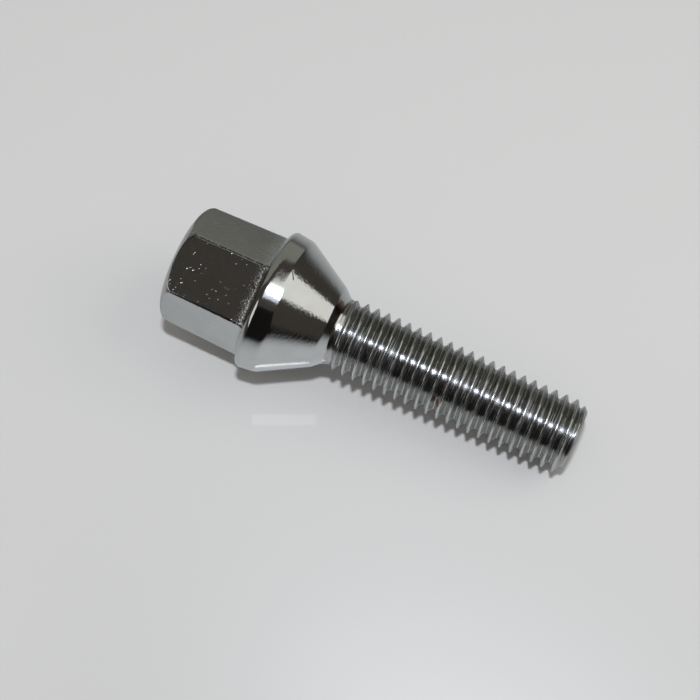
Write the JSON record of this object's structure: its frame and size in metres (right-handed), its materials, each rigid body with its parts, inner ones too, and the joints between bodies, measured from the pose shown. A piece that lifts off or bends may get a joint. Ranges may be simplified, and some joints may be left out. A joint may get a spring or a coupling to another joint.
{
  "type": "wheel bolt",
  "caption": "Long wheel bolt with a hexagon head, a round collar, a conical seat and a full-length rolled metric thread.",
  "frame": {"origin": "centre of the flat end of the head, which is the lowest face", "axes": "+Z along the bolt's axis, from the end of the head to the end of the thread; a flat of the hexagon faces -Y and corners lie on +X and -X"},
  "size_m": [0.0226, 0.0226, 0.0666],
  "materials": {
    "chrome": "bright chrome plate on forged steel, with small pits in the hexagon and rolling marks in the thread"
  },
  "bodies": {
    "root": {"wheel_bolt": "chrome"}
  },
  "joints": []
}
